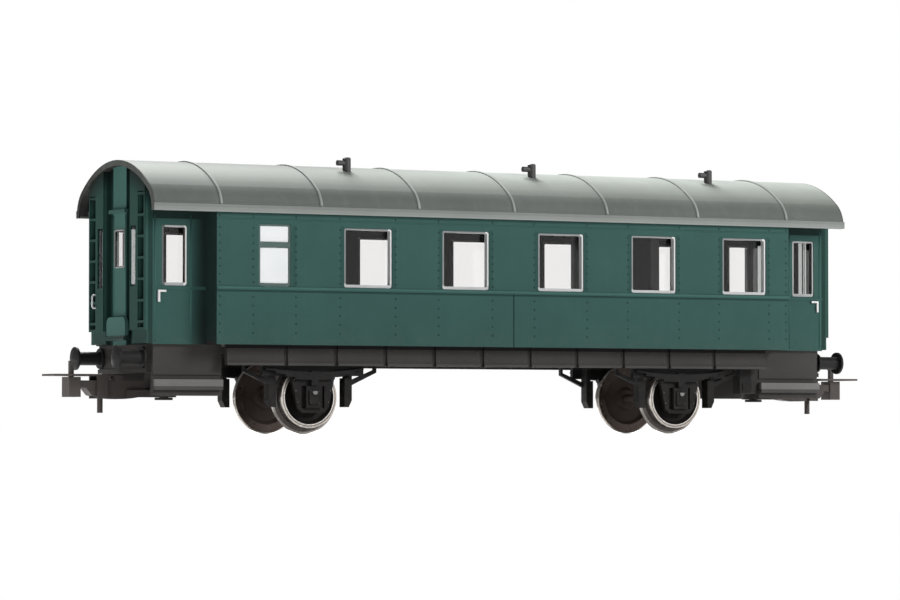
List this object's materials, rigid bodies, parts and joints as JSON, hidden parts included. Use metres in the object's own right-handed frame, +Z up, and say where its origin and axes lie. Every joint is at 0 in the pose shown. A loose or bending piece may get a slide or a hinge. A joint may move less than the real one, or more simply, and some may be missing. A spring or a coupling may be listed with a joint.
{
  "type": "model railway passenger coach",
  "caption": "H0 scale two-axle passenger coach with barrel roof, framed windows, recessed vestibules, sprung axle guards and hinged loop couplings.",
  "frame": {"origin": "floor point under the middle of the coach, at the foot of the wheel flanges", "axes": "+X along the coach towards the rear end, +Z up, -Y the left side seen in the picture"},
  "size_m": [0.1668, 0.034, 0.0493],
  "materials": {
    "body_green": "satin painted moulding",
    "glazing": "clear moulding",
    "milky_panes": "milky moulding",
    "frame_silver": "printed silver",
    "roof_grey": "matt moulding",
    "ventilator_grey": "matt moulding",
    "steel": "turned bright metal",
    "wheel_brown": "matt moulding",
    "handle_silver": "printed silver",
    "ballast_steel": "plain sheet",
    "inside_grey": "matt moulding",
    "coupling_black": "matt moulding",
    "buffer_black": "satin moulding",
    "underframe_grey": "matt moulding"
  },
  "bodies": {
    "coach": {"axle_guard_front_left": "underframe_grey", "axle_guard_front_right": "underframe_grey", "axle_guard_rear_left": "underframe_grey", "axle_guard_rear_right": "underframe_grey", "ballast_plate": "ballast_steel", "battery_box": "underframe_grey", "brake_gear_front": "underframe_grey", "brake_gear_rear": "underframe_grey", "bridge_plate_front": "body_green", "bridge_plate_rear": "body_green", "buffer_front_left": "buffer_black", "buffer_front_right": "buffer_black", "buffer_rear_left": "buffer_black", "buffer_rear_right": "buffer_black", "coupling_mount_front": "underframe_grey", "coupling_mount_rear": "underframe_grey", "door_handles": "handle_silver", "glazing_left": "glazing", "glazing_right": "glazing", "leaf_spring_front_left": "underframe_grey", "leaf_spring_front_right": "underframe_grey", "leaf_spring_rear_left": "underframe_grey", "leaf_spring_rear_right": "underframe_grey", "partition": "inside_grey", "roof": "roof_grey", "roof_ventilators": "ventilator_grey", "side_wall_left": "body_green", "side_wall_right": "body_green", "step_front_left": "underframe_grey", "step_front_right": "underframe_grey", "step_rear_left": "underframe_grey", "step_rear_right": "underframe_grey", "toilet_panes": "milky_panes", "underframe": "underframe_grey", "vestibule_front": "body_green", "vestibule_glazing_front": "glazing", "vestibule_glazing_rear": "glazing", "vestibule_rear": "body_green", "window_frames_left": "frame_silver", "window_frames_right": "frame_silver"},
    "wheelset_front": {"axle_front": "wheel_brown", "tyres_front": "steel", "wheel_discs_front": "wheel_brown"},
    "coupler_front": {"coupling_front": "coupling_black"},
    "loop_front": {"coupling_loop_front": "coupling_black"},
    "wheelset_rear": {"axle_rear": "wheel_brown", "tyres_rear": "steel", "wheel_discs_rear": "wheel_brown"},
    "coupler_rear": {"coupling_rear": "coupling_black"},
    "loop_rear": {"coupling_loop_rear": "coupling_black"}
  },
  "joints": [
    {"name": "wheelset_front_spin", "type": "hinge", "parent": "coach", "child": "wheelset_front", "pos_m": [-0.0379, 0, 0.00645], "axis": [0, 1, 0], "continuous": true},
    {"name": "coupler_front_swing", "type": "hinge", "parent": "coach", "child": "coupler_front", "pos_m": [-0.0615, 0, 0.00705], "axis": [0, 0, 1], "range_deg": [-12, 12]},
    {"name": "loop_front_lift", "type": "hinge", "parent": "coupler_front", "child": "loop_front", "pos_m": [-0.0707, 0, 0.0095], "axis": [0, 1, 0], "range_deg": [0, 12]},
    {"name": "wheelset_rear_spin", "type": "hinge", "parent": "coach", "child": "wheelset_rear", "pos_m": [0.0379, 0, 0.00645], "axis": [0, 1, 0], "continuous": true},
    {"name": "coupler_rear_swing", "type": "hinge", "parent": "coach", "child": "coupler_rear", "pos_m": [0.0615, 0, 0.00705], "axis": [0, 0, 1], "range_deg": [-12, 12]},
    {"name": "loop_rear_lift", "type": "hinge", "parent": "coupler_rear", "child": "loop_rear", "pos_m": [0.0707, 0, 0.0095], "axis": [0, -1, 0], "range_deg": [0, 12]}
  ]
}
